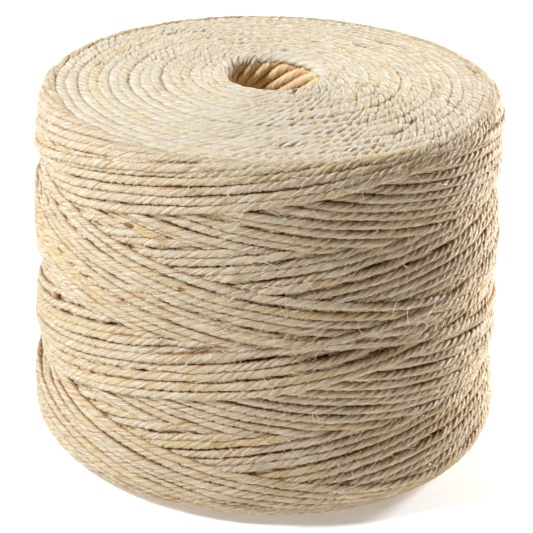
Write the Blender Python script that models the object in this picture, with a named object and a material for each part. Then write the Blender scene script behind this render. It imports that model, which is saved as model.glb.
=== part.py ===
"""A machine-wound roll of sisal binder twine, standing on its flat end.

The roll is one closed solid: a wound cylinder with a domed top, rounded corners, a hole through its middle
and a flat foot. Its section is a closed line of straight stretches and arcs, turned round the Z axis. The
turns of twine are ridges that follow tilted loops round the side and rings over the dome, and the strands
inside the hole are steep flutes. Units are metres, +Z is up, the origin is the middle of the foot.
"""

import math

import bmesh
import bpy

# Driving sizes of the roll
FOOT_SIDE_RADIUS = 0.0806  # radius of the side just above the foot's rounded edge
SHOULDER_SIDE_RADIUS = 0.0788  # radius of the side just below the shoulder
ROLL_HEIGHT = 0.131  # foot to the lip of the hole, the highest ring of the dome
DOME_RISE = 0.0040  # how far the lip stands above the shoulder
BORE_RADIUS = 0.0146
FOOT_EDGE_RADIUS = 0.0135  # rounding from the foot to the side
SHOULDER_RADIUS = 0.0066  # rounding from the side to the dome
LIP_RADIUS = 0.0048  # rounding from the dome into the hole
FOOT_LIP_RADIUS = 0.0040  # rounding from the hole to the foot

# Driving sizes of the winding
TURN_PITCH = 0.00325  # from one turn to the next along the side
RING_PITCH = 0.0035  # from one ring to the next over the dome
GROOVE_SHARE = 0.40  # depth of the groove between two turns against the width of a turn
GROOVE_FOLD = math.radians(-45)  # an inward fold past this is a groove and stays crisp
LOOP_TILT = 0.0060  # how far a loop rises on one side of the roll and falls on the other
LOOP_CYCLE = 0.0620  # height over which the tilt swings once round the roll
LOOP_PHASE = math.radians(-5)  # where the tilt points at the top of the side
RING_DRIFT = 0.0009  # how far the rings on the dome lie off centre
BAND_NOTCHES = (  # height of the notch between two bands of loops, and how it widens towards the front
    {"height": 0.0945, "widening": 0.75},
    {"height": 0.0625, "widening": -0.60},
    {"height": 0.0325, "widening": 0.75},
)
NOTCH_DEPTH = 0.0019
NOTCH_HALF_WIDTH = 0.0060
FLUTE_COUNT = 10  # strands seen side by side on the wall of the hole
FLUTE_HEIGHT = 0.0008
FLUTE_LEAN = math.radians(30)  # lean of those strands from the upright

# Mesh
COLUMNS = 40
FOOT_ROWS = 3
LIP_ROWS = 4
BORE_ROWS = 10
FOOT_LIP_ROWS = 3

TWINE_COLOR = (0.74, 0.62, 0.42, 1.0)
TWINE_ROUGHNESS = 0.85


def line(start, end):
    """A straight stretch of the section from start to end, each (radius, height)."""
    length = math.dist(start, end)
    along = ((end[0] - start[0]) / length, (end[1] - start[1]) / length)
    normal = (along[1], -along[0])

    def at(distance):
        return (
            start[0] + along[0] * distance,
            start[1] + along[1] * distance,
            normal[0],
            normal[1],
        )

    return length, at


def arc(centre, radius, first_angle, last_angle):
    """An arc of the section, its angles measured from the outward radius towards +Z."""
    length = radius * (last_angle - first_angle)

    def at(distance):
        angle = first_angle + distance / radius
        return (
            centre[0] + radius * math.cos(angle),
            centre[1] + radius * math.sin(angle),
            math.cos(angle),
            math.sin(angle),
        )

    return length, at


def joined(stretches):
    """One function of the distance along several stretches that follow one another, and their total length."""
    total = sum(length for length, _ in stretches)

    def at(distance):
        for length, point in stretches[:-1]:
            if distance <= length:
                return point(distance)
            distance -= length
        return stretches[-1][1](distance)

    return total, at


def section():
    """The stretches of the section, from the foot up the side, over the dome and down the hole."""
    slope = math.atan2(
        DOME_RISE, SHOULDER_SIDE_RADIUS - SHOULDER_RADIUS - BORE_RADIUS - LIP_RADIUS
    )
    shoulder = (
        SHOULDER_SIDE_RADIUS - SHOULDER_RADIUS,
        ROLL_HEIGHT - DOME_RISE - SHOULDER_RADIUS,
    )
    lip = (BORE_RADIUS + LIP_RADIUS, ROLL_HEIGHT - LIP_RADIUS)
    foot_edge = (FOOT_SIDE_RADIUS - FOOT_EDGE_RADIUS, FOOT_EDGE_RADIUS)
    foot_lip = (BORE_RADIUS + FOOT_LIP_RADIUS, FOOT_LIP_RADIUS)
    upright = math.pi / 2 - slope

    def on_arc(centre, radius, angle):
        return (centre[0] + radius * math.cos(angle), centre[1] + radius * math.sin(angle))

    foot = line((foot_lip[0], 0), (foot_edge[0], 0))
    side = joined(
        [
            arc(foot_edge, FOOT_EDGE_RADIUS, -math.pi / 2, 0),
            line((FOOT_SIDE_RADIUS, foot_edge[1]), (SHOULDER_SIDE_RADIUS, shoulder[1])),
            arc(shoulder, SHOULDER_RADIUS, 0, upright),
        ]
    )
    dome = line(
        on_arc(shoulder, SHOULDER_RADIUS, upright), on_arc(lip, LIP_RADIUS, upright)
    )
    mouth = arc(lip, LIP_RADIUS, upright, math.pi)
    bore = line((BORE_RADIUS, lip[1]), (BORE_RADIUS, foot_lip[1]))
    foot_mouth = arc(foot_lip, FOOT_LIP_RADIUS, math.pi, 1.5 * math.pi)
    return foot, side, dome, mouth, bore, foot_mouth


def tilt_phase(distance, length):
    """Which way a loop's high side points: it swings once round the roll in each cycle, from the top down."""
    return LOOP_PHASE + 2 * math.pi * (length - distance) / LOOP_CYCLE


def side_row(point, distance, length, is_crest):
    """One crest or groove round the side: a tilted loop, lower where two bands of loops meet."""
    fade = math.sin(math.pi * distance / length) ** 0.5
    phase = tilt_phase(distance, length)
    for column in range(COLUMNS):
        turn = 2 * math.pi * column / COLUMNS
        shift = LOOP_TILT * fade * math.cos(turn - phase)
        squeeze = LOOP_TILT * fade * 2 * math.pi / LOOP_CYCLE * math.sin(turn - phase)
        radius, height, out, up = point(min(max(distance + shift, 0), length))
        groove = GROOVE_SHARE * TURN_PITCH * (1 - squeeze)
        lift = -notch(height, turn) - (0 if is_crest else groove)
        yield radius + out * lift, height + up * lift


def notch(height, turn):
    """Depth of the notches between the bands of loops, wide on one face of the roll and narrow on the other."""
    depth = 0
    for band in BAND_NOTCHES:
        half_width = NOTCH_HALF_WIDTH * (1 + band["widening"] * math.cos(turn))
        depth += NOTCH_DEPTH * math.exp(-(((height - band["height"]) / half_width) ** 2))
    return depth


def dome_row(point, distance, length, is_crest):
    """One crest or groove of a ring on the dome, a little off centre."""
    fade = math.sin(math.pi * distance / length)
    for column in range(COLUMNS):
        turn = 2 * math.pi * column / COLUMNS
        shift = RING_DRIFT * fade * math.cos(turn + distance / RING_PITCH)
        radius, height, out, up = point(distance + shift)
        lift = 0 if is_crest else -GROOVE_SHARE * RING_PITCH
        yield radius + out * lift, height + up * lift


def bore_row(point, distance, depth, share):
    """One row across the steep strands on the wall of the hole, whose height fades out at both mouths."""
    for column in range(COLUMNS):
        turn = 2 * math.pi * column / COLUMNS
        radius, height, out, up = point(distance)
        lean = depth * math.tan(FLUTE_LEAN) / BORE_RADIUS
        lift = FLUTE_HEIGHT * share * math.cos(FLUTE_COUNT * (turn + lean))
        yield radius + out * lift, height + up * lift


def plain_row(point, distance):
    """One smooth row."""
    radius, height, _, _ = point(distance)
    for _ in range(COLUMNS):
        yield radius, height


def rows():
    """Every row of the solid as (radius, height) pairs round the roll, in order along the section."""
    foot, side, dome, mouth, bore, foot_mouth = section()
    for row in range(FOOT_ROWS):
        yield plain_row(foot[1], foot[0] * row / (FOOT_ROWS - 1))
    half_turns = 2 * round(side[0] / TURN_PITCH)
    for row in range(1, half_turns + 1):
        yield side_row(side[1], side[0] * row / half_turns, side[0], row % 2 == 0)
    half_rings = 2 * round(dome[0] / RING_PITCH)
    for row in range(1, half_rings + 1):
        yield dome_row(dome[1], dome[0] * row / half_rings, dome[0], row % 2 == 0)
    for row in range(1, LIP_ROWS + 1):
        distance = mouth[0] * row / LIP_ROWS
        yield bore_row(mouth[1], distance, distance, row / LIP_ROWS)
    for row in range(1, BORE_ROWS + 1):
        distance = bore[0] * row / BORE_ROWS
        yield bore_row(bore[1], distance, mouth[0] + distance, 1)
    for row in range(1, FOOT_LIP_ROWS):
        distance = foot_mouth[0] * row / FOOT_LIP_ROWS
        depth = mouth[0] + bore[0] + distance
        yield bore_row(foot_mouth[1], distance, depth, 1 - row / FOOT_LIP_ROWS)


def twine_material():
    """Pale straw-coloured sisal."""
    material = bpy.data.materials.new("sisal")
    material.use_nodes = True
    shader = material.node_tree.nodes["Principled BSDF"]
    shader.inputs["Base Color"].default_value = TWINE_COLOR
    shader.inputs["Roughness"].default_value = TWINE_ROUGHNESS
    shader.inputs["Metallic"].default_value = 0.0
    material.diffuse_color = TWINE_COLOR
    return material


def wound_twine():
    """The wound roll as one closed mesh, its rows joined into a ring of quads."""
    model = bmesh.new()
    rings = []
    for row in rows():
        ring = []
        for column, (radius, height) in enumerate(row):
            turn = 2 * math.pi * column / COLUMNS
            place = (radius * math.sin(turn), -radius * math.cos(turn), height)
            ring.append(model.verts.new(place))
        rings.append(ring)
    for row, ring in enumerate(rings):
        above = rings[(row + 1) % len(rings)]
        for column in range(COLUMNS):
            beside = (column + 1) % COLUMNS
            model.faces.new((ring[column], ring[beside], above[beside], above[column]))
    for face in model.faces:
        face.smooth = True
    for edge in model.edges:
        edge.smooth = edge.calc_face_angle_signed() > GROOVE_FOLD
    mesh = bpy.data.meshes.new("wound_twine")
    model.to_mesh(mesh)
    model.free()
    roll = bpy.data.objects.new("wound_twine", mesh)
    bpy.context.scene.collection.objects.link(roll)
    mesh.materials.append(twine_material())
    return roll


for leftover in list(bpy.data.objects):
    bpy.data.objects.remove(leftover)
wound_twine()
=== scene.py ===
"""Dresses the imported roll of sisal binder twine.

Every turn that can be seen is a real strand of four twisted plies. The strands are laid in the order a
winding machine lays them, each resting on what lies under it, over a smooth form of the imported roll's size.
Lengths are metres and +Z is up. A point of the roll is given by the turn, its angle round the Z axis from
the front towards the right, and by the way, the distance along the roll's section from half height on the
side: positive up over the shoulder and the dome to the hole, negative down round the edge of the foot.
"""

import math

import bpy
import numpy as np
from mathutils import Matrix, Vector


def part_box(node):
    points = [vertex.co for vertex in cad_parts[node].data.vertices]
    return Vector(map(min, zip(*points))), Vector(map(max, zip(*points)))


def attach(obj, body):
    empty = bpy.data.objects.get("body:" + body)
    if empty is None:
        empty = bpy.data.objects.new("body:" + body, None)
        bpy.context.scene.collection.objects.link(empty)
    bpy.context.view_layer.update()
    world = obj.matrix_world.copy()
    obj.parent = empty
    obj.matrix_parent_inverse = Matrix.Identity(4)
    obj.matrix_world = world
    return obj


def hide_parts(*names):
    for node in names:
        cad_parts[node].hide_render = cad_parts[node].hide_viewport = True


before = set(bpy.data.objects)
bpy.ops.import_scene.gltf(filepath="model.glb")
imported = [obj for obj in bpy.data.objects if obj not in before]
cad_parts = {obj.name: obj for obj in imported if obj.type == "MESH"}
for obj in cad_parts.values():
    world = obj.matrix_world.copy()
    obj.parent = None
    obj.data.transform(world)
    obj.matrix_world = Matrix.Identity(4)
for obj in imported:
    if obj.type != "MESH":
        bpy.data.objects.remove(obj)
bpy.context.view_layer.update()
roll_low, roll_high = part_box("wound_twine")

# The form under the winding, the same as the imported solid's
ROLL_HEIGHT = roll_high[2] - roll_low[2]
HALF_HEIGHT = ROLL_HEIGHT / 2
FOOT_SIDE_RADIUS = 0.0806  # of the side just above the foot's rounded edge
SHOULDER_SIDE_RADIUS = 0.0788  # of the side just below the shoulder
DOME_RISE = 0.0040  # of the lip above the shoulder
BORE_RADIUS = 0.0146
FOOT_EDGE_RADIUS = 0.0135
SHOULDER_RADIUS = 0.0066
LIP_RADIUS = 0.0048
FOOT_LIP_RADIUS = 0.0040
SAME_POINT = 1e-7  # rows of the section nearer to each other than this are one row

# The twine
TWINE_WIDTH = 0.0030  # of the round back that a turn adds to the winding
STRAND_RADIUS = 0.00160  # of the strand made along a turn of the side
TURN_FLATNESS = 1.12  # breadth against thickness of a turn on the side
RING_RADIUS = 0.00148  # of the strand made along a ring of the dome
RING_SPREAD = 1.90  # breadth against thickness of that strand
RING_FLATNESS = 1.28  # breadth against thickness of a ring while it is laid
PLIES = 4
PLY_LAY = 0.0144  # length of twine in which a ply runs once round it
PLY_POINTS = 3
PLY_SHAPE = (0.82, 0.97, 1.0)  # distance from the middle at those points, the first one in the groove
RING_POINTS = PLIES * PLY_POINTS
RING_STEP = 0.0016  # from one cross-section of a strand to the next

# How the twine varies: the size of each wave and its radians a metre
LONG_SWELL, LONG_SWELL_RATE = 0.05, 211
SHORT_SWELL, SHORT_SWELL_RATE = 0.04, 613
TWIST_WAVE, TWIST_RATE = 0.5, 97
PLY_WAVE, PLY_RATE, PLY_RATE_STEP, PLY_SHIFT = 0.45, 151, 37, 2.4
LIT_FLAT_SHARE, LIT_FLAT_TURN, LIT_FLAT_REACH = 0.38, -1.1, 0.8  # plies lie flatter on the left of the roll, where the key light falls, so that they show less there
EDGE_LIT_SHARE, EDGE_LIT_TURN, EDGE_LIT_REACH = 0.25, 1.0, 0.7  # and stand out more on its right, where the edge light grazes them

# The grid on which the winding is worked out
TURN_STEPS = 1008
WAY_STEP = 0.00025
WAY_LOW = -0.125
WAY_HIGH = 0.128
STEP_LENGTH = 0.0005  # of twine from one step of turn to the next on the side
FORM_RADIUS = 0.08  # of the side, to turn a distance round it into steps

# How a turn beds in
SETTLE = 0.50  # share of its back that gives where it crosses another turn
BEARING = 0.55  # share of its half width that bears on what lies under it
BRIDGE_STEPS = 3  # how far to either side a high place still carries it
STIFFNESS = 6  # steps over which its rise and fall is blurred
FOOT_STIFFNESS = 3
TOP_STIFFNESS = 5
KNOT_BLUR = 0.6  # blur of a wander, as a share of the steps from one random value to the next

# The crossed turns round the side
TRAVERSE_REACH = 0.064  # way at which the winding turns back, to either side of half height
TRAVERSE_TURNS = 4.0475  # revolutions in one rise and fall
TRAVERSE_ROUNDING = 0.014  # how much of a rise and fall the turning back is rounded over
ROUNDING_SAMPLES = 15
CIRCUITS = 23
TRAVERSE_LEAN = 0.45
LEAN_ANGLE = math.radians(60)
BULK_PEAK = math.radians(106)  # turn at which the under layers reach the top
LAST_PEAK = math.radians(11)  # turn at which the last layer reaches it
LAST_TURNS = 5
PEAK_REVOLUTION = 2  # revolutions before the last at which the top is reached
SIDE_WANDER = 0.00031
SIDE_KNOT = 56  # steps between the random values of a wander
LIMIT_WAYS = (-0.060, -0.048, 0.050, 0.060)
SIDE_LIMITS = (-0.0015, 0.0003, 0.0003, -0.0011)  # highest middle of a side turn at those ways

# How the ground under the winding is evened out
EVENINGS = 4
SIDE_MARGIN = 0.0030  # how far past the side turns the ground is lowered for them
MARGIN_BLUR = 4
END_DEPTH = 0.97  # of the ground under the rings, in widths of twine
SIDE_DEPTH = 0.85  # how much deeper it lies under the side turns
EVEN_ROUND = 0.009
EVEN_ALONG = 0.004
MEAN_DEPTH = 0.0006  # of the grooved surface below the form, on average
CORRECTION = 0.7
DEEPEST_GROUND = 4
HIGHEST_GROUND = 0.6

# Which stretches of a turn show, and how they lie
SHOWS_REACH = 4  # cells to either side of a turn's middle that are looked at
SHOWS_CELLS = 2  # how many of them it has to be on top of
SHORTEST_RUN = 12
SEAM_BLUR = 40  # steps over which the step in height from one revolution to the next is blurred
SEAM_REACH = 25
DIP_KNOT = 14
DIP_START = 1.2
DIP_WAYS = (0.070, 0.075)  # dips grow from none to full between these ways
JUMP = 0.001  # a step of way longer than this is no twine
END_SINK = 0.0040  # how far a cut end goes down between its neighbours
END_STEPS = 6
RELIEF_SHARE = 0.55

# Notches and swell of the bands of turns
BAND_NOTCHES = (
    {"height": 0.0945, "widening": 0.75},
    {"height": 0.0625, "widening": -0.60},
    {"height": 0.0325, "widening": 0.75},
)
NOTCH_DEPTH = 0.0016
NOTCH_HALF_WIDTH = 0.0060
NOTCH_TILT = 0.0017  # how much higher the upper notches lie on the left
UPPER_START, UPPER_SPAN = 0.05, 0.04  # heights over which the lower bands pass into the upper
BAND_SWELL = 0.0012
SWELL_TURN = math.radians(-95)
SWELL_REACH = 0.9
UPPER_SWELL = 1.4
SWELL_END, SWELL_FADE = 0.127, 0.022  # the swell fades out below the shoulder
CLEFT, UPPER_CLEFT = 2.2, 1.3  # how far the notches cut back into the swell

# The rings over the dome and the foot
RING_PITCH = 0.00355
RING_DRIFT = 0.0004
OFF_CENTRE_STEP = 0.37  # share of a revolution that the off-centre side moves on each ring
RING_WANDER = 0.00030
RING_KNOT = 84
CARRIED_WANDER, NEW_WANDER = 0.8, 0.6  # shares of a ring's wander taken over and drawn afresh
TOP_RINGS_FIRST = 0.0050  # way past the start of the lip
TOP_RINGS_LAST = 0.0004  # way past the side turns
TOP_SINK = 0.34  # of the middle of a ring below the form, in widths of twine
FOOT_RINGS_FIRST = 0.0010
FOOT_RINGS_LAST = 0.0016

# The strands down the hole and on under the foot
BORE_STRANDS = 17
BORE_LEAN = math.radians(55)  # from the upright
BORE_FLATNESS = 1.2
BORE_PLY_DEPTH = 0.45
BORE_STEPS = 420
BORE_TOP, BORE_FOOT = 0.0030, 0.0005  # way past the start of the lip, and past the end of the section
BORE_SWAY, BORE_SWAY_RATE, BORE_SWAY_SHIFT = 0.035, 90, 0.9
BORE_PROUD = 0.0008  # how far they stand into the hole
BORE_END_SINK = 0.0026
BORE_END_RATE = 30
BORE_UNEVEN, BORE_UNEVEN_SHIFT = 0.0004, 1.9
BORE_START, BORE_START_STEP = 100, 0.37  # length of twine at which each strand's pattern starts

# The skin under the strands
SKIN_TURN_STEP = 9
SKIN_ROWS = 190
SKIN_BLUR_ROUND, SKIN_BLUR_ALONG = 6, 5
SKIN_DEPTH = 0.0026  # below the wound surface
SKIN_LEAST_DEPTH = 0.0022  # below the form
SKIN_HOLE_DEPTH = 0.0024
SKIN_PAST_END = 0.02

turns_round = (np.arange(TURN_STEPS) / TURN_STEPS - 0.5) * 2 * math.pi
ways = np.arange(WAY_LOW, WAY_HIGH, WAY_STEP)
chance = np.random.default_rng(2024)


# ---------------------------------------------------------------- the form


def section():
    """The outline of the roll's section: rows of radius, height and outward normal, and the way at each.

    The rows lie on four arcs: the foot's edge, the shoulder, the hole's lip and the foot's inner lip. The
    stretches between them are straight: the side, the dome, the wall of the hole and last the flat foot.
    An arc's point is its centre plus its radius times the cosine and sine of the angle, and its normal is
    that cosine and sine.
    """
    slope = math.atan2(DOME_RISE, SHOULDER_SIDE_RADIUS - SHOULDER_RADIUS - BORE_RADIUS - LIP_RADIUS)
    upright = math.pi / 2 - slope
    shoulder = (SHOULDER_SIDE_RADIUS - SHOULDER_RADIUS, ROLL_HEIGHT - DOME_RISE - SHOULDER_RADIUS)
    lip = (BORE_RADIUS + LIP_RADIUS, ROLL_HEIGHT - LIP_RADIUS)
    edge = (FOOT_SIDE_RADIUS - FOOT_EDGE_RADIUS, FOOT_EDGE_RADIUS)
    foot_lip = (BORE_RADIUS + FOOT_LIP_RADIUS, FOOT_LIP_RADIUS)
    pieces = []

    def arc(centre, radius, first, last):
        angle = np.linspace(first, last, max(int(abs(last - first) * radius / WAY_STEP), 2))
        out, up = np.cos(angle), np.sin(angle)
        pieces.append(np.stack([centre[0] + radius * out, centre[1] + radius * up, out, up], 1))

    arc(edge, FOOT_EDGE_RADIUS, -math.pi / 2, 0)
    arc(shoulder, SHOULDER_RADIUS, 0, upright)
    arc(lip, LIP_RADIUS, upright, math.pi)
    arc(foot_lip, FOOT_LIP_RADIUS, math.pi, 1.5 * math.pi)
    rows = np.concatenate([*pieces, pieces[0][:1]])
    steps = np.hypot(*np.diff(rows[:, :2], axis=0).T)
    rows = rows[np.concatenate([[True], steps > SAME_POINT])]
    steps = np.hypot(*np.diff(rows[:, :2], axis=0).T)
    way = np.concatenate([[0], np.cumsum(steps)])
    at_half = np.argmax(rows[:, 1] > HALF_HEIGHT)
    share = (HALF_HEIGHT - rows[at_half - 1, 1]) / (rows[at_half, 1] - rows[at_half - 1, 1])
    start = way[at_half - 1] + share * (way[at_half] - way[at_half - 1])
    return way - start, rows


section_way, section_rows = section()
section_length = section_way[-1] - section_way[0]


def on_form(turn, way, lift):
    """Points at a height over the form, and the form's outward normals there.

    The way is looked up along the section, wrapping past its ends. The radius and height found there are
    moved by lift along the normal, then turned: x is the radius times sin(turn) and y is minus the radius
    times cos(turn).
    """
    way = (way - section_way[0]) % section_length + section_way[0]
    radius, height, out, up = (np.interp(way, section_way, section_rows[:, part]) for part in range(4))
    size = np.hypot(out, up)
    out, up = out / size, up / size
    radius, height = radius + out * lift, height + up * lift
    points = np.stack([radius * np.sin(turn), -radius * np.cos(turn), height], -1)
    normals = np.stack([out * np.sin(turn), -out * np.cos(turn), up], -1)
    return points, normals


# ---------------------------------------------------------------- the winding


def softened(values, reach, axis=0):
    """Values blurred by a Gaussian that closes on itself: each frequency is scaled by the Gaussian's own."""
    count = values.shape[axis]
    shape = [1] * values.ndim
    shape[axis] = -1
    keep = np.exp(-2 * (math.pi * np.fft.rfftfreq(count) * reach) ** 2).reshape(shape)
    return np.fft.irfft(np.fft.rfft(values, axis=axis) * keep, count, axis=axis)


def highest_near(values, reach):
    """The highest value within a few steps to either side, round the roll."""
    best = values
    for step in range(1, reach + 1):
        best = np.maximum(best, np.maximum(np.roll(values, step), np.roll(values, -step)))
    return best


def wander(count, step, size, luck=chance):
    """A smooth random line round the roll: one random value each so many steps, blurred between them."""
    knots = luck.normal(size=count // step + 1)
    line = np.repeat(knots, step)[:count]
    line = softened(line, step * KNOT_BLUR)
    return line / line.std() * size


class Winding:
    """Heights of the wound surface over the form, on a grid of turns round by ways along the section."""

    def __init__(self, ground):
        self.height = ground.copy()
        self.on_top = np.full(ground.shape, -1)
        self.laid = []

    def lay(self, way, most=None, stiffness=STIFFNESS, flatness=1.0):
        """One revolution of twine along the given ways.

        Its round back is an arch: the root of the radius squared less the distance across squared. Its
        middle rises until the arch, sunk by a share for the give of the fibres, clears all that lies under
        it, and a stiff strand spans hollows: the highest near value, blurred. The surface becomes the
        higher of the old one and the arch.
        """
        radius = TWINE_WIDTH / 2
        reach = int(radius * flatness / WAY_STEP)
        across = np.arange(-reach, reach + 1)
        arch = np.sqrt(radius**2 - (across * WAY_STEP / flatness) ** 2)
        middle = np.round((way - WAY_LOW) / WAY_STEP).astype(int)
        middle = np.clip(middle, reach, len(ways) - 1 - reach)
        cell = middle[:, None] + across[None]
        row = np.arange(TURN_STEPS)[:, None]
        under = self.height[row, cell]
        bears = np.abs(across * WAY_STEP) <= radius * BEARING
        lift = (under + arch * (1 - SETTLE))[:, bears].max(1)
        lift = softened(highest_near(lift, BRIDGE_STEPS), stiffness)
        if most is not None:
            lift = np.minimum(lift, most)
        back = lift[:, None] + arch
        shows = back > under
        self.height[row, cell] = np.maximum(back, under)
        self.on_top[row, cell] = np.where(shows, len(self.laid), self.on_top[row, cell])
        self.laid.append((way, lift))


def traverse(revolution, peak):
    """Ways of one revolution of the crossed winding, counted back from the last.

    The way is a triangle wave of the angle wound so far, a little rounded where it turns back, with one
    rise and one fall in so many revolutions. The angle is leaned by a sine, so that the turns climb
    faster on the left than on the right, and the wave's top falls at the peak angle.
    """

    def leaned(turn):
        return turn + TRAVERSE_LEAN * np.sin(turn + LEAN_ANGLE)

    wound = -revolution + (leaned(turns_round) - leaned(math.pi)) / (2 * math.pi)
    top = (leaned(peak) - leaned(math.pi)) / (2 * math.pi) - PEAK_REVOLUTION
    place = (wound - top) / TRAVERSE_TURNS + 0.5
    weights = np.hanning(ROUNDING_SAMPLES)
    offsets = np.linspace(-TRAVERSE_ROUNDING, TRAVERSE_ROUNDING, ROUNDING_SAMPLES)
    wave = sum(
        weight * (1 - np.abs(((place + offset) % 1) * 2 - 1))
        for weight, offset in zip(weights, offsets, strict=True)
    ) / weights.sum()
    turned = weights @ np.abs(offsets) / weights.sum() * 2
    return TRAVERSE_REACH * np.clip((wave - 0.5) * 2 / (1 - 2 * turned), -1, 1)


def ring_ways(inner, outer):
    """Ways of the rings over one end, from the hole outwards: a spiral a little off centre.

    The way moves one pitch each revolution, with a cosine for the rings that lie off centre and a small
    smooth wander, which fades where one revolution joins the next.
    """
    count = round(abs(outer - inner) / RING_PITCH)
    rings = []
    drift = np.zeros(TURN_STEPS)
    for ring in range(count):
        share = turns_round / (2 * math.pi) + 0.5
        way = inner + (outer - inner) * (ring + share) / count
        fade = np.sin(math.pi * (ring + share) / count)
        way = way + RING_DRIFT * fade * np.cos(turns_round + 2 * math.pi * OFF_CENTRE_STEP * (ring + share))
        drift = drift * CARRIED_WANDER + wander(TURN_STEPS, RING_KNOT, RING_WANDER) * NEW_WANDER
        way = way + drift * np.sqrt(np.sin(math.pi * share))
        rings.append(way)
    return rings


def band_relief(extra=0.0):
    """Height of the wound surface over the form: bell-shaped notches at the heights between the bands,
    and between them a swell outwards by the extra amount, most on the left."""
    height = on_form(np.zeros(len(ways)), ways, 0.0)[0][:, 2]
    high = np.clip((height - UPPER_START) / UPPER_SPAN, 0, 1)
    tilt = (high * NOTCH_TILT)[None] * (1 - np.sin(turns_round))[:, None]
    relief = np.zeros((TURN_STEPS, len(ways)))
    side = np.abs(ways) < TRAVERSE_REACH
    for band in BAND_NOTCHES:
        half = NOTCH_HALF_WIDTH * (1 + band["widening"] * np.cos(turns_round))[:, None]
        relief += NOTCH_DEPTH * np.exp(-(((height[None] - tilt - band["height"]) / half) ** 2))
    apart = (turns_round - SWELL_TURN + math.pi) % (2 * math.pi) - math.pi
    swell = extra * np.exp(-(apart / SWELL_REACH) ** 2)
    swell = swell[:, None] * (1 + UPPER_SWELL * high) * np.clip((SWELL_END - height) / SWELL_FADE, 0, 1)
    return (swell * (1 - (CLEFT - UPPER_CLEFT * high) * relief / NOTCH_DEPTH) - relief) * side


over_lip = (section_rows[:, 0] < BORE_RADIUS + LIP_RADIUS) & (section_rows[:, 1] > HALF_HEIGHT)
lip_way = section_way[np.argmax(over_lip)]
foot_lip_way = section_way[0] - (FOOT_SIDE_RADIUS - FOOT_EDGE_RADIUS - BORE_RADIUS - FOOT_LIP_RADIUS)
top_rings = ring_ways(lip_way + TOP_RINGS_FIRST, TRAVERSE_REACH + TOP_RINGS_LAST)
foot_rings = ring_ways(foot_lip_way - FOOT_RINGS_FIRST, -TRAVERSE_REACH - FOOT_RINGS_LAST)


def wound():
    """The whole winding on its grid: the rings of the foot and the top, then the crossed turns of the side.

    It is laid several times, each time over a ground lowered or raised where the last one came out too
    high or low against the relief wanted, so that the roll keeps its true shape. Each side turn wanders a
    little from its rule, by a line that fades where one revolution joins the next.
    """
    relief = band_relief()
    on_side = (np.abs(ways) < TRAVERSE_REACH + SIDE_MARGIN).astype(float)
    on_side = softened(on_side, MARGIN_BLUR)[None]
    ground = relief - TWINE_WIDTH * (END_DEPTH + on_side * SIDE_DEPTH)
    side_order = [(turn, BULK_PEAK) for turn in range(math.ceil(CIRCUITS * TRAVERSE_TURNS), -1, -1)]
    side_order += [(turn, LAST_PEAK) for turn in range(LAST_TURNS - 1, -1, -1)]
    luck = np.random.default_rng(7)
    fade = np.sqrt(np.cos(turns_round / 2).clip(0))
    side_ways = [
        traverse(turn, peak) + wander(TURN_STEPS, SIDE_KNOT, SIDE_WANDER, luck) * fade
        for turn, peak in side_order
    ]
    for attempt in range(EVENINGS + 1):
        winding = Winding(ground)
        for way in foot_rings:
            winding.lay(way, most=-TWINE_WIDTH / 2, stiffness=FOOT_STIFFNESS, flatness=RING_FLATNESS)
        foot_count = len(winding.laid)
        for way in top_rings:
            winding.lay(way, most=-TWINE_WIDTH * TOP_SINK, stiffness=TOP_STIFFNESS, flatness=RING_FLATNESS)
        top_count = len(winding.laid)
        for way in side_ways:
            winding.lay(way, most=np.interp(way, LIMIT_WAYS, SIDE_LIMITS))
        if attempt == EVENINGS:
            break
        smooth = softened(winding.height, EVEN_ROUND / (FORM_RADIUS * 2 * math.pi / TURN_STEPS))
        smooth = softened(smooth, EVEN_ALONG / WAY_STEP, 1)
        ground = ground - (smooth - (relief - MEAN_DEPTH)) * CORRECTION * on_side
        lowest, highest = relief - DEEPEST_GROUND * TWINE_WIDTH, relief - HIGHEST_GROUND * TWINE_WIDTH
        ground = np.clip(ground, lowest, highest)
    return winding, foot_count, top_count


winding, foot_count, top_count = wound()


# ---------------------------------------------------------------- strands


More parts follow.
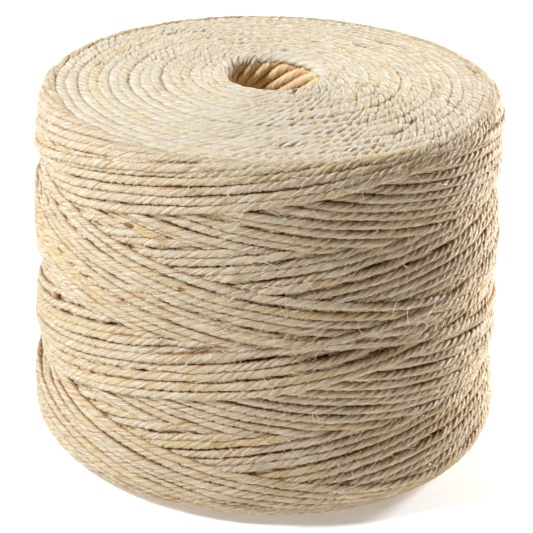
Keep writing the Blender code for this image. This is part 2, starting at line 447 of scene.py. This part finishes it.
def visible_runs(first, last, margin, level, give, dip=0.0):
    """The stretches of the laid turns that show, as arrays of turn, way, lift and length so far.

    The turns from first to last are joined end to end as one long strand. A step of it shows where some
    cells of the grid have that turn on top, and each showing stretch keeps a margin at both ends. Its lift
    is pressed towards a level: the hyperbolic tangent of the difference, which never passes the give. Here
    and there a strand of the dome dips, and where the way jumps from one turn to the next the strand is cut
    and its ends go down between their neighbours.
    """
    way = np.concatenate([winding.laid[index][0] for index in range(first, last)])
    lift = np.concatenate([winding.laid[index][1] for index in range(first, last)])
    shows = []
    row = np.arange(TURN_STEPS)[:, None]
    across = np.arange(-SHOWS_REACH, SHOWS_REACH + 1)
    for index in range(first, last):
        middle = np.round((winding.laid[index][0] - WAY_LOW) / WAY_STEP).astype(int)
        cell = np.clip(middle[:, None] + across, 0, len(ways) - 1)
        shows.append((winding.on_top[row, cell] == index).sum(1) >= SHOWS_CELLS)
    shows = np.concatenate(shows)
    near = np.convolve(shows, np.ones(2 * margin + 1), "same") > 0.5
    longer = np.concatenate([np.full(SEAM_BLUR, lift[0]), lift, np.full(SEAM_BLUR, lift[-1])])
    bell = np.hanning(SEAM_BLUR + 1)
    blurred = np.convolve(longer, bell / bell.sum(), "same")[SEAM_BLUR:-SEAM_BLUR]
    seam = (np.arange(len(lift)) + TURN_STEPS // 2) % TURN_STEPS - TURN_STEPS // 2
    lift = lift + (blurred - lift) * np.exp(-((seam / SEAM_REACH) ** 2))
    turn = np.concatenate([turns_round + 2 * math.pi * index for index in range(last - first)])
    cell = np.clip(np.round((way - WAY_LOW) / WAY_STEP).astype(int), 0, len(ways) - 1)
    level = band_relief(BAND_SWELL)[np.arange(len(way)) % TURN_STEPS, cell] + level
    lift = level + give * np.tanh((lift - level) * RELIEF_SHARE / give)
    dips = np.maximum(wander(len(lift), DIP_KNOT, 1.0) - DIP_START, 0)
    lift -= dip * (dips * np.interp(way, DIP_WAYS, (0, 1)))
    jumps = np.flatnonzero(np.abs(np.diff(way)) > JUMP)
    near[jumps] = False
    ends = np.concatenate([[0], jumps, [len(way) - 1]])
    apart = np.abs(np.arange(len(way))[:, None] - ends).min(1)
    lift -= END_SINK * np.exp(-((apart / END_STEPS) ** 2))
    edges = np.flatnonzero(np.diff(np.concatenate([[0], near.astype(int), [0]])))
    return [
        (turn[start:end], way[start:end], lift[start:end], start * STEP_LENGTH)
        for start, end in zip(edges[::2], edges[1::2], strict=True)
        if end - start > SHORTEST_RUN
    ]


def strand_mesh(runs, radius, flatness, ply_depth):
    """Tubes of twisted plies along the runs, with open ends.

    Each run is cut at even steps of its own length. Round each point a ring is set out in the plane of
    the outward normal and the side direction, which is the normal crossed with the direction of travel.
    The ring's points stand at even angles plus one full turn each lay, so that an edge from ring to ring
    follows its ply, and their distance is the radius times the ply's own shape: low in the groove between
    two plies and full on its back. The radius, the twist and the depth of each ply's grooves rise and fall
    a little along the twine as sines of its length. The grooves are made shallower on the left of the roll,
    where the key light falls, so that the plies show less there, and deeper on the right, where the edge
    light grazes them.
    """
    points, facing, along, around, rings = [], [], [], [], []
    faces, base = [], 0
    ply = (1 - np.tile(PLY_SHAPE, PLIES)) * ply_depth
    for turn, way, lift, start in runs:
        middle, outward = on_form(turn, way, lift)
        travelled = np.concatenate([[0], np.cumsum(np.linalg.norm(np.diff(middle, axis=0), axis=1))])
        count = max(int(travelled[-1] / RING_STEP), 3)
        at = np.linspace(0, travelled[-1], count)
        middle = np.stack([np.interp(at, travelled, middle[:, axis]) for axis in range(3)], 1)
        outward = np.stack([np.interp(at, travelled, outward[:, axis]) for axis in range(3)], 1)
        ahead = np.gradient(middle, axis=0)
        ahead /= np.linalg.norm(ahead, axis=1, keepdims=True)
        outward -= (outward * ahead).sum(1, keepdims=True) * ahead
        outward /= np.linalg.norm(outward, axis=1, keepdims=True)
        sideways = np.cross(outward, ahead)
        length = start + at
        swell = 1 + LONG_SWELL * np.sin(length * LONG_SWELL_RATE + start)
        swell = swell + SHORT_SWELL * np.sin(length * SHORT_SWELL_RATE + 2 * start)
        angle = 2 * math.pi * (np.arange(RING_POINTS)[None] / RING_POINTS + (length / PLY_LAY)[:, None])
        angle = angle + TWIST_WAVE * np.sin(length * TWIST_RATE + start)[:, None]
        own = np.repeat(np.arange(PLIES), PLY_POINTS)[None]
        rate = PLY_RATE + PLY_RATE_STEP * own
        depth = 1 + PLY_WAVE * np.sin(length[:, None] * rate + PLY_SHIFT * own + start)
        # The grooves are shallower on the left, where the key light falls, and deeper on the right, where the
        # edge light grazes the plies.
        faced = np.arctan2(outward[:, 0], -outward[:, 1])
        lit_flat = LIT_FLAT_SHARE * np.exp(-(((faced - LIT_FLAT_TURN) / LIT_FLAT_REACH) ** 2))
        edge_lit = EDGE_LIT_SHARE * np.exp(-(((faced - EDGE_LIT_TURN) / EDGE_LIT_REACH) ** 2))
        depth = depth * (1 - lit_flat + edge_lit)[:, None]
        size = radius * (1 - ply[None] * depth) * swell[:, None]
        ring = (
            middle[:, None]
            + outward[:, None] * (np.cos(angle) * size)[..., None]
            + sideways[:, None] * (np.sin(angle) * size)[..., None] * flatness
        )
        ring[..., 2] = np.maximum(ring[..., 2], roll_low[2])
        points.append(ring.reshape(-1, 3))
        along.append(np.repeat(length, RING_POINTS))
        around.append(np.tile(np.arange(RING_POINTS), count))
        facing.append(np.cos(angle).reshape(-1))
        here = base + np.arange((count - 1) * RING_POINTS).reshape(-1, RING_POINTS)
        beside = np.roll(here, -1, 1)
        faces.append(np.stack([here, here + RING_POINTS, beside + RING_POINTS, beside], -1).reshape(-1, 4))
        rings.append((base, count))
        base += count * RING_POINTS
    return [np.concatenate(part) for part in (points, faces, along, around, facing)], rings


def strand_piece(name, runs, finish, radius=STRAND_RADIUS, flatness=TURN_FLATNESS, ply_depth=1.0):
    """One piece of twine from its runs, with the ends closed, its length and ply as a UV map, and how far
    each point faces outwards as an attribute. The edges in the grooves between two plies stay crisp."""
    (points, quads, along, around, facing), rings = strand_mesh(runs, radius, flatness, ply_depth)
    first = np.array([base for base, _ in rings])
    last = np.array([base + (count - 1) * RING_POINTS for base, count in rings])
    ends = np.arange(RING_POINTS)
    caps = np.concatenate([first[:, None] + ends, last[:, None] + ends[::-1]])
    mesh = bpy.data.meshes.new(name)
    corner = np.concatenate([quads.ravel(), caps.ravel()])
    mesh.vertices.add(len(points))
    mesh.vertices.foreach_set("co", points.astype(np.float32).ravel())
    mesh.loops.add(len(corner))
    mesh.loops.foreach_set("vertex_index", corner.astype(np.int32))
    mesh.polygons.add(len(quads) + len(caps))
    starts = np.concatenate([np.arange(len(quads)) * 4, quads.size + np.arange(len(caps)) * RING_POINTS])
    mesh.polygons.foreach_set("loop_start", starts.astype(np.int32))
    mesh.update(calc_edges=True)
    mesh.polygons.foreach_set("use_smooth", np.ones(len(mesh.polygons), bool))
    place = around[corner].astype(float)
    wraps = around[quads[:, 0]] == RING_POINTS - 1
    far = np.zeros((len(quads), 4), bool)
    far[:, 2:] = wraps[:, None]
    place[: quads.size][far.ravel()] = RING_POINTS
    plane = np.stack([along[corner], place / RING_POINTS], 1)
    mesh.uv_layers.new(name="Fibre").data.foreach_set("uv", plane.astype(np.float32).ravel())
    attribute = mesh.attributes.new("facing", "FLOAT", "POINT")
    attribute.data.foreach_set("value", facing.astype(np.float32))
    edge = np.empty(len(mesh.edges) * 2, np.int32)
    mesh.edges.foreach_get("vertices", edge)
    edge = edge.reshape(-1, 2)
    in_groove = (around[edge] % PLY_POINTS == 0).all(1)
    mesh.attributes.new("sharp_edge", "BOOLEAN", "EDGE").data.foreach_set("value", in_groove)
    mesh.validate()
    return placed(name, mesh, finish)


def placed(name, mesh, material):
    """Puts a finished mesh into the scene as a piece of the roll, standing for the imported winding."""
    mesh.materials.append(material)
    piece = bpy.data.objects.new(name, mesh)
    bpy.context.scene.collection.objects.link(piece)
    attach(piece, "root")
    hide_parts("wound_twine")
    return piece


# ---------------------------------------------------------------- finishes


class Nodes:
    """Short calls for the nodes of one material."""

    def __init__(self, name):
        self.material = bpy.data.materials.new(name)
        self.material.use_nodes = True
        self.tree = self.material.node_tree
        self.shader = self.tree.nodes["Principled BSDF"]

    def add(self, kind, inputs=None, **settings):
        """One node with its settings, its inputs linked to sockets or set to plain values."""
        node = self.tree.nodes.new(kind)
        for key, value in settings.items():
            setattr(node, key, value)
        for key, value in (inputs or {}).items():
            self.feed(node.inputs[key], value)
        return node

    def feed(self, socket, value):
        """Links a socket, or sets a plain value."""
        if isinstance(value, bpy.types.NodeSocket):
            self.tree.links.new(value, socket)
        else:
            socket.default_value = value

    def math(self, operation, *values):
        """The result of one operation on two or three values."""
        node = self.add("ShaderNodeMath", operation=operation)
        for place, value in enumerate(values):
            self.feed(node.inputs[place], value)
        return node.outputs[0]

    def noise(self, vector, scale, detail, roughness=0.5):
        """Smooth noise between nought and one."""
        inputs = {"Vector": vector, "Scale": scale, "Detail": detail, "Roughness": roughness}
        return self.add("ShaderNodeTexNoise", inputs).outputs["Fac"]

    def ramp(self, value, stops):
        """A colour ramp through stops of position and colour."""
        node = self.add("ShaderNodeValToRGB", {"Fac": value})
        ramp = node.color_ramp
        while len(ramp.elements) < len(stops):
            ramp.elements.new(0.5)
        for element, (position, colour) in zip(ramp.elements, stops, strict=True):
            element.position = position
            element.color = (*colour, 1.0)
        return node.outputs["Color"]

    def tinted(self, first, second):
        """The product of two colours."""
        node = self.add("ShaderNodeMix", data_type="RGBA", blend_type="MULTIPLY")
        self.feed(node.inputs["Factor"], 1.0)
        for socket, value in (("A", first), ("B", second)):
            plug = [item for item in node.inputs if item.name == socket and item.type == "RGBA"][0]
            self.feed(plug, value)
        return [item for item in node.outputs if item.type == "RGBA"][0]


WHITE = (1.0, 1.0, 1.0)


def sisal_finish(name, straws, painted_hollow_shade, painted_groove_shade, roughness):
    """Twisted sisal: fibres along each ply, patches of straw, grey and orange along the twine, painted shade
    in the grooves between the plies, and painted shade, darker and browner, on the flanks where the strand
    faces its neighbours.

    The patterns read the strand's own map, whose first number is the length along the twine and whose
    second is the way round it. The way round plus the length times the untwist keeps fibres at a slant.
    """
    nodes = Nodes(name)
    plane = nodes.add("ShaderNodeUVMap", uv_map="Fibre").outputs["UV"]
    parts = nodes.add("ShaderNodeSeparateXYZ", {"Vector": plane})
    along, around = parts.outputs["X"], parts.outputs["Y"]
    facing = nodes.add("ShaderNodeAttribute", attribute_name="facing").outputs["Fac"]

    def spread(length_scale, round_scale, untwist=0.0):
        """The map stretched along the twine and round it."""
        node = nodes.add("ShaderNodeCombineXYZ")
        nodes.feed(node.inputs["X"], nodes.math("MULTIPLY", along, length_scale))
        place = nodes.math("MULTIPLY_ADD", along, untwist, around)
        nodes.feed(node.inputs["Y"], nodes.math("MULTIPLY", place, round_scale))
        return node.outputs["Vector"]

    fibres = nodes.noise(spread(240.0, 38.0, untwist=22.0), scale=1.0, detail=3.0, roughness=0.65)
    coarse = nodes.noise(spread(100.0, 15.0, untwist=12.0), scale=1.0, detail=2.0, roughness=0.55)
    patches = nodes.noise(spread(34.0, 2.6), scale=1.0, detail=3.0, roughness=0.6)
    long_patches = nodes.noise(spread(6.0, 0.6), scale=1.0, detail=2.0, roughness=0.5)
    tone = nodes.math("ADD", nodes.math("MULTIPLY", fibres, 0.5), nodes.math("MULTIPLY", coarse, 0.5))
    straw = nodes.ramp(tone, tuple(zip((0.30, 0.42, 0.52, 0.62), straws, strict=True)))
    patch_colours = (
        (0.28, (1.0, 0.88, 0.70)),
        (0.40, (1.0, 0.97, 0.91)),
        (0.50, (0.99, 0.97, 0.99)),
        (0.60, (0.95, 0.97, 0.93)),
        (0.72, (1.0, 0.93, 0.83)),
    )
    coloured = nodes.tinted(straw, nodes.ramp(patches, patch_colours))
    orange_stretches = ((0.48, WHITE), (0.63, (1.0, 0.96, 0.86)), (0.73, (1.0, 0.90, 0.66)))
    coloured = nodes.tinted(coloured, nodes.ramp(long_patches, orange_stretches))
    # Painted shade: in the grooves between the plies the colour turns darker and browner, standing for the
    # shade and warm bounce light in them. The patches move how far it reaches.
    ply = nodes.math("MULTIPLY", nodes.math("PINGPONG", around, 0.5 / PLIES), 2.0 * PLIES)
    groove = nodes.math("MULTIPLY_ADD", patches, 1.6, nodes.math("ADD", ply, -0.8))
    coloured = nodes.tinted(coloured, nodes.ramp(groove, ((0.0, painted_groove_shade), (0.22, WHITE))))
    # Painted shade: where a point faces away from the outside, towards the neighbouring turns, the colour
    # turns darker and browner, standing for the shade and warm bounce light between turns. The uneven noise
    # moves where it begins.
    uneven = nodes.math("MULTIPLY_ADD", long_patches, 0.3, nodes.math("MULTIPLY_ADD", coarse, 0.24, 0.25))
    outward = nodes.math("MULTIPLY_ADD", facing, 0.5, uneven)
    coloured = nodes.tinted(coloured, nodes.ramp(outward, ((0.56, painted_hollow_shade), (0.86, WHITE))))
    nodes.feed(nodes.shader.inputs["Base Color"], coloured)
    bump = nodes.add("ShaderNodeBump", {"Height": tone, "Strength": roughness, "Distance": 0.0006})
    nodes.feed(nodes.shader.inputs["Normal"], bump.outputs["Normal"])
    nodes.shader.inputs["Roughness"].default_value = 0.72
    nodes.shader.inputs["Specular IOR Level"].default_value = 0.15
    return nodes.material


def plain_finish(name, low, high, scale, shine=0.2):
    """Two tones of one colour in a fine speckle over the object's own coordinates. What has more shine
    mirrors more and is less rough."""
    nodes = Nodes(name)
    place = nodes.add("ShaderNodeTexCoord").outputs["Object"]
    speckle = nodes.noise(place, scale, detail=3.0)
    nodes.feed(nodes.shader.inputs["Base Color"], nodes.ramp(speckle, ((0.35, low), (0.65, high))))
    nodes.shader.inputs["Roughness"].default_value = 1.0 - shine
    nodes.shader.inputs["Specular IOR Level"].default_value = shine
    return nodes.material


# Straw colours from the darkest fibres to the palest, then the painted shade of the hollows and of the
# grooves, and the roughness
SIDE_STRAWS = ((0.37, 0.215, 0.09), (0.66, 0.485, 0.30), (0.79, 0.64, 0.445), (0.90, 0.78, 0.635))
# The top rings' palette is paler and of lower contrast than the side's; the lower contrast is painted soft,
# even light over the dome.
TOP_STRAWS = ((0.61, 0.445, 0.275), (0.785, 0.64, 0.45), (0.90, 0.775, 0.60), (0.955, 0.865, 0.735))
# The twine in the hole is painted brighter and more orange than on the side: a painted warm glow for the
# light bounced between its fibres and passed through them.
HOLE_GLOW_STRAWS = ((0.80, 0.41, 0.14), (1.0, 0.615, 0.29), (1.0, 0.77, 0.44), (1.0, 0.91, 0.70))
strand_finish = sisal_finish("twisted_sisal", SIDE_STRAWS, (0.54, 0.32, 0.16), (0.84, 0.73, 0.60), 0.9)
ring_finish = sisal_finish("pressed_sisal", TOP_STRAWS, (0.72, 0.54, 0.36), (0.94, 0.88, 0.78), 1.0)
hole_finish = sisal_finish("sisal_in_hole", HOLE_GLOW_STRAWS, (0.60, 0.29, 0.11), (1.0, 0.91, 0.80), 1.0)
fibre_finish = plain_finish("loose_sisal_fibre", (0.90, 0.77, 0.53), (1.0, 0.92, 0.74), 260.0, shine=0.45)
bark_finish = plain_finish("brown_bark", (0.16, 0.06, 0.02), (0.42, 0.20, 0.08), 900.0)
core_finish = plain_finish("sisal_in_shadow", (0.34, 0.20, 0.09), (0.54, 0.35, 0.18), 500.0)


# ---------------------------------------------------------------- pieces


def under_skin():
    """A closed skin just below the strands, so that no gap between them looks through the roll: the
    section moved in along its normal, turned round the axis in even columns."""
    columns = TURN_STEPS // SKIN_TURN_STEP
    way = np.linspace(section_way[0], section_way[-1], SKIN_ROWS, endpoint=False)
    surface = softened(softened(winding.height, SKIN_BLUR_ROUND), SKIN_BLUR_ALONG, 1)[::SKIN_TURN_STEP]
    beyond = way - section_length * (way > WAY_HIGH + SKIN_PAST_END)
    cell = np.round((beyond - WAY_LOW) / WAY_STEP).astype(int)
    in_hole = (cell < 4) | (cell > len(ways) - 5)
    depth = -surface[:, np.clip(cell, 0, len(ways) - 1)].T + SKIN_DEPTH
    depth = np.where(in_hole[:, None], SKIN_HOLE_DEPTH, np.maximum(depth, SKIN_LEAST_DEPTH))
    grid_turn, grid_way = np.meshgrid(turns_round[::SKIN_TURN_STEP], way)
    points, _ = on_form(grid_turn, grid_way, -depth)
    here = np.arange(SKIN_ROWS * columns).reshape(SKIN_ROWS, columns)
    above = np.roll(here, -1, 0)
    quads = np.stack([here, np.roll(here, -1, 1), np.roll(above, -1, 1), above], -1).reshape(-1, 4)
    mesh = bpy.data.meshes.new("inner_turns")
    mesh.from_pydata(points.reshape(-1, 3).tolist(), [], quads.tolist())
    mesh.polygons.foreach_set("use_smooth", np.ones(len(quads), bool))
    mesh.update()
    return placed("inner_turns", mesh, core_finish)


def bore_runs():
    """Strands down the wall of the hole as helices, and on under the flat foot as a spiral out to its edge.

    Each advances round the wall by the distance gone times the tangent of its lean, sways a little by a
    sine, and sinks at both ends.
    """
    first = lip_way + BORE_TOP
    last = section_way[-1] + BORE_FOOT
    steps = np.linspace(0, 1, BORE_STEPS)
    way = first + (last - first) * steps
    inside = way - lip_way
    end_fade = np.minimum(1, np.minimum(steps, 1 - steps) * BORE_END_RATE)
    runs = []
    for strand in range(BORE_STRANDS):
        turn = 2 * math.pi * strand / BORE_STRANDS + inside * math.tan(BORE_LEAN) / BORE_RADIUS
        sway = BORE_SWAY * np.sin(inside * BORE_SWAY_RATE + strand * BORE_SWAY_SHIFT)
        lift = -TWINE_WIDTH / 2 + BORE_PROUD - BORE_END_SINK * (1 - end_fade)
        lift = lift + BORE_UNEVEN * np.sin(strand * BORE_UNEVEN_SHIFT)
        runs.append((turn + sway, way, lift, BORE_START + strand * BORE_START_STEP))
    return runs


ANYWHERE = (-math.pi, math.pi)
HAIR_RINGS, HAIR_SIDES = 5, 3
HAIR_POINTS = HAIR_RINGS * HAIR_SIDES
HAIR_REACH = 0.0125  # farthest that a hair's tip may lie from its root
HAIR_ENDS = (0.004, 0.054)  # clear of the hole's lip, and of the foot's edge below half height
LITTLE_TURN = 0.004  # to find the direction of travel


def on_strands(runs, pick, lift_by):
    """Points of the runs raised by some height, with the direction of travel, the side and the normal."""
    turn, way, lift = (np.concatenate([run[part] for run in runs])[pick] for part in range(3))
    root, outward = on_form(turn, way, lift + lift_by)
    after, _ = on_form(turn + LITTLE_TURN, way, lift + lift_by)
    ahead = after - root
    ahead /= np.linalg.norm(ahead, axis=1, keepdims=True)
    return root, ahead, np.cross(outward, ahead), outward


def loose_fibres(name, runs, count, seed, size=1.0, thickness=1.0, rise=0.75, between=ANYWHERE):
    """Fine hairs that stand off the strands, on the part of the roll between two turns.

    Each starts on a strand's back and leaves it along a direction mixed from the travel, the outward
    normal, up to a share of rise, and a random side, then bends by a second random direction times the
    square of the distance along it. Its length is cut so that no tip reaches too far. It is a three-sided
    spike of five rings whose radius falls to its tip.
    """
    luck = np.random.default_rng(seed)
    turn, way = (np.concatenate([run[part] for run in runs]) for part in range(2))
    aside = (turn + math.pi) % (2 * math.pi) - math.pi
    clear_of_ends = (way < lip_way - HAIR_ENDS[0]) & (way > -HAIR_ENDS[1])
    allowed = np.flatnonzero((aside > between[0]) & (aside < between[1]) & clear_of_ends)
    pick = allowed[luck.integers(1, len(allowed) - 1, count)]
    root, ahead, sideways, outward = on_strands(runs, pick, TWINE_WIDTH * 0.30)
    side = luck.choice([-1.0, 1.0], count)[:, None]
    start = side * ahead + outward * luck.uniform(0.05, rise, count)[:, None]
    start = start + sideways * luck.normal(0, 0.6, count)[:, None]
    start /= np.linalg.norm(start, axis=1, keepdims=True)
    bend = luck.normal(0, 0.45, (count, 3)) - outward * luck.uniform(0.0, 0.5, count)[:, None]
    length = size * luck.gamma(3.0, 0.0014, count).clip(0.0015, 0.011)
    length = np.minimum(length, HAIR_REACH / np.linalg.norm(start + bend, axis=1))[:, None, None]
    share = np.linspace(0, 1, HAIR_RINGS)[None, :, None]
    middle = root[:, None] + length * (share * start[:, None] + share**2 * bend[:, None])
    across = np.cross(start, outward + 0.01)
    across /= np.linalg.norm(across, axis=1, keepdims=True)
    third = np.cross(start, across)
    width = thickness * luck.uniform(0.00005, 0.00009, count)[:, None, None] * (1 - 0.75 * share)
    angle = 2 * math.pi * np.arange(HAIR_SIDES) / HAIR_SIDES
    around = across[:, None] * np.cos(angle)[None, :, None] + third[:, None] * np.sin(angle)[None, :, None]
    points = (middle[:, :, None] + around[:, None] * width[..., None]).reshape(-1, 3)
    points[:, 2] = np.maximum(points[:, 2], roll_low[2])
    first = np.arange(count)[:, None] * HAIR_POINTS
    here = np.arange(HAIR_POINTS).reshape(HAIR_RINGS, HAIR_SIDES)
    beside = np.roll(here, -1, 1)
    quads = np.stack([here[:-1], beside[:-1], beside[1:], here[1:]], -1).reshape(1, -1, 4)
    quads = (quads + first[..., None]).reshape(-1, 4)
    caps = np.concatenate([first + here[0, ::-1], first + here[-1]])
    mesh = bpy.data.meshes.new(name)
    mesh.from_pydata(points.tolist(), [], quads.tolist() + caps.tolist())
    mesh.polygons.foreach_set("use_smooth", np.ones(len(mesh.polygons), bool))
    mesh.update()
    return placed(name, mesh, fibre_finish)


FLECK_RINGS, FLECK_SIDES = 5, 10
FLECK_BODY = FLECK_RINGS * FLECK_SIDES
FLECK_THICKNESS = 0.00035


def bark_flecks(name, runs, places, seed):
    """Bits of brown bark caught between the fibres: flat closed grains that lie along a strand's back.

    A grain is an ellipsoid of latitudes and longitudes. Its long radius runs with the twine, its thin one
    outwards, and each point's distance is scaled by a random share so that its edge is ragged.
    """
    luck = np.random.default_rng(seed)
    turn, way = (np.concatenate([run[part] for run in runs]) for part in range(2))
    wanted = np.array(places)
    round_apart = (np.cos(turn[None] - wanted[:, :1]) - 1) * -2 * FORM_RADIUS**2
    pick = (round_apart + (way[None] - wanted[:, 1:]) ** 2).argmin(1)
    root, ahead, sideways, outward = on_strands(runs, pick, STRAND_RADIUS * 0.98)
    rise = np.linspace(0, math.pi, FLECK_RINGS + 2)[1:-1]
    rise, around = np.meshgrid(rise, np.arange(FLECK_SIDES) * math.pi / 5, indexing="ij")
    shape = (len(pick), FLECK_RINGS, FLECK_SIDES)
    ragged = luck.uniform(0.65, 1.25, shape)
    long = luck.uniform(0.0013, 0.0026, len(pick))[:, None, None] * np.cos(rise)
    wide = luck.uniform(0.0004, 0.0008, len(pick))[:, None, None] * np.sin(rise) * np.cos(around) * ragged
    thin = np.broadcast_to(FLECK_THICKNESS * np.sin(rise) * np.sin(around), shape)
    body = (
        root[:, None, None]
        + long[..., None] * ahead[:, None, None]
        + wide[..., None] * sideways[:, None, None]
        + thin[..., None] * outward[:, None, None]
    ).reshape(len(pick), FLECK_BODY, 3)
    long_radius = long.max((1, 2))[:, None] * 1.15
    poles = np.stack([root + ahead * long_radius, root - ahead * long_radius], 1)
    points = np.concatenate([body, poles], 1).reshape(-1, 3)
    here = np.arange(FLECK_BODY).reshape(FLECK_RINGS, FLECK_SIDES)
    beside = np.roll(here, -1, 1)
    quads = np.stack([here[:-1], here[1:], beside[1:], beside[:-1]], -1).reshape(-1, 4)
    first_pole = np.full(FLECK_SIDES, FLECK_BODY)
    near = np.stack([first_pole, here[0], beside[0]], 1)
    far = np.stack([first_pole + 1, beside[-1], here[-1]], 1)
    start = np.arange(len(pick))[:, None, None] * (FLECK_BODY + 2)
    faces = (quads[None] + start).reshape(-1, 4).tolist()
    faces += (np.concatenate([near, far])[None] + start).reshape(-1, 3).tolist()
    mesh = bpy.data.meshes.new(name)
    mesh.from_pydata(points.tolist(), [], faces)
    mesh.update()
    return placed(name, mesh, bark_finish)


def split(runs, parts):
    """The runs shared out in order into so many groups of about the same length."""
    sizes = np.cumsum([len(run[0]) for run in runs])
    group = np.minimum((sizes - 1) * parts // sizes[-1], parts - 1)
    return [[run for run, mine in zip(runs, group, strict=True) if mine == part] for part in range(parts)]


side_runs = visible_runs(top_count, len(winding.laid), margin=17, level=-0.0021, give=0.0010)
for index, runs in enumerate(split(side_runs, 3)):
    strand_piece(f"side_turns_{index + 1}", runs, strand_finish)
top_runs = visible_runs(foot_count, top_count, margin=16, level=-0.0014, give=0.0004, dip=0.0006)
strand_piece("top_rings", top_runs, ring_finish, RING_RADIUS, RING_SPREAD, ply_depth=1.05)
foot_runs = visible_runs(0, foot_count, margin=16, level=-0.0018, give=0.0009)
strand_piece("foot_rings", foot_runs, strand_finish, flatness=RING_FLATNESS)
strand_piece("hole_strands", bore_runs(), hole_finish, flatness=BORE_FLATNESS, ply_depth=BORE_PLY_DEPTH)
under_skin()

# Each fleck's turn and way: three at the front, and more scattered round the back
fleck_places = [(math.radians(-54), 0.0303), (math.radians(-35), 0.0335), (math.radians(-20), 0.0178)]
fleck_places += list(zip(chance.uniform(1.9, 5.0, 14), chance.uniform(-0.055, 0.055, 14), strict=True))
bark_flecks("bark_flecks", side_runs, fleck_places, seed=14)
loose_fibres("side_fibres", side_runs, 4800, seed=11, thickness=1.25)
loose_fibres("top_fibres", top_runs, 2200, seed=12, thickness=1.2, rise=0.5)
loose_fibres("long_fibres", side_runs, 1200, seed=13, size=1.9, thickness=1.8, rise=0.35)
loose_fibres(
    "standing_fibres", side_runs, 520, seed=15, size=2.0, thickness=1.7, rise=1.1, between=(-0.35, 0.85)
)


# ---------------------------------------------------------------- floor, light and camera


def floor():
    """A wide pale disc under the roll: rings of points at growing radii, x the radius times the cosine of
    the angle and y the radius times its sine, closed by a fan at the middle. It glows faintly."""
    columns = 64
    angles = np.arange(columns) * 2 * math.pi / columns
    radius, turn = np.meshgrid((0.15, 0.5, 1.5, 4.0), angles, indexing="ij")
    rings = np.stack([radius * np.cos(turn), radius * np.sin(turn), np.full(radius.shape, roll_low[2])], -1)
    points = np.concatenate([rings.reshape(-1, 3), [[0.0, 0.0, roll_low[2]]]])
    here = np.arange(radius.size).reshape(radius.shape)
    beside = np.roll(here, -1, 1)
    quads = np.stack([here[:-1], here[1:], beside[1:], beside[:-1]], -1).reshape(-1, 4)
    fan = np.stack([np.full(columns, radius.size), here[0], beside[0]], -1)
    mesh = bpy.data.meshes.new("floor")
    mesh.from_pydata(points.tolist(), [], quads.tolist() + fan.tolist())
    mesh.update()
    nodes = Nodes("pale_floor")
    nodes.shader.inputs["Base Color"].default_value = (0.96, 0.955, 0.94, 1.0)
    nodes.shader.inputs["Roughness"].default_value = 0.9
    nodes.shader.inputs["Specular IOR Level"].default_value = 0.1
    nodes.shader.inputs["Emission Color"].default_value = (1.0, 0.98, 0.955, 1.0)
    nodes.shader.inputs["Emission Strength"].default_value = 0.27
    mesh.materials.append(nodes.material)
    stand = bpy.data.objects.new("floor", mesh)
    bpy.context.scene.collection.objects.link(stand)


def soft_light(name, place, aim, size, power, colour):
    """A round area light at a place, facing its aim."""
    data = bpy.data.lights.new(name, "AREA")
    data.shape = "DISK"
    data.size = size
    data.energy = power
    data.color = colour
    light = bpy.data.objects.new(name, data)
    light.location = place
    light.rotation_euler = (Vector(aim) - Vector(place)).to_track_quat("-Z", "Y").to_euler()
    bpy.context.scene.collection.objects.link(light)


def camera():
    """A long lens that looks down on the roll from the front, leaned a little to one side."""
    distance = 0.8
    elevation = 0.4106
    lean = math.radians(1.64)
    aim_lower, aim_aside = 0.00597, 0.0005
    middle = Vector((0, 0, (roll_low[2] + roll_high[2]) / 2))
    place = middle + distance * Vector((0, -math.cos(elevation), math.sin(elevation)))
    right = Vector((1, 0, 0))
    up = Vector((0, math.sin(elevation), math.cos(elevation)))
    level = right * math.cos(lean) + up * math.sin(lean)
    lift = up * math.cos(lean) - right * math.sin(lean)
    aim = middle - lift * aim_lower - level * aim_aside
    back = (place - aim).normalized()
    level = (level - back * level.dot(back)).normalized()
    lift = back.cross(level)
    data = bpy.data.cameras.new("view")
    data.lens = 155.7
    data.sensor_width = 36.0
    eye = bpy.data.objects.new("view", data)
    turned = Matrix((level, lift, back)).transposed().to_4x4()
    turned.translation = place
    eye.matrix_world = turned
    bpy.context.scene.collection.objects.link(eye)
    bpy.context.scene.camera = eye


def studio_air(colour, strength):
    """A faint warm light from all round."""
    world = bpy.data.worlds.new("studio")
    world.use_nodes = True
    background = world.node_tree.nodes["Background"]
    background.inputs["Color"].default_value = colour
    background.inputs["Strength"].default_value = strength
    bpy.context.scene.world = world


floor()
soft_light("key_light", (-0.845, -0.325, 0.83), (0, 0, 0.08), 0.22, 16.9, (0.755, 0.873, 1.0))
soft_light("top_light", (0.0, 0.1, 1.5), (0, 0, 0.13), 0.6, 4.9, (1.0, 0.90, 0.77))
soft_light("right_edge_light", (0.735, 0.59, 0.20), (0, 0, 0.07), 0.18, 21.0, (0.86, 0.925, 1.0))
studio_air((1.0, 0.78, 0.50, 1.0), 0.06)
camera()
bpy.context.scene.view_settings.view_transform = "Standard"
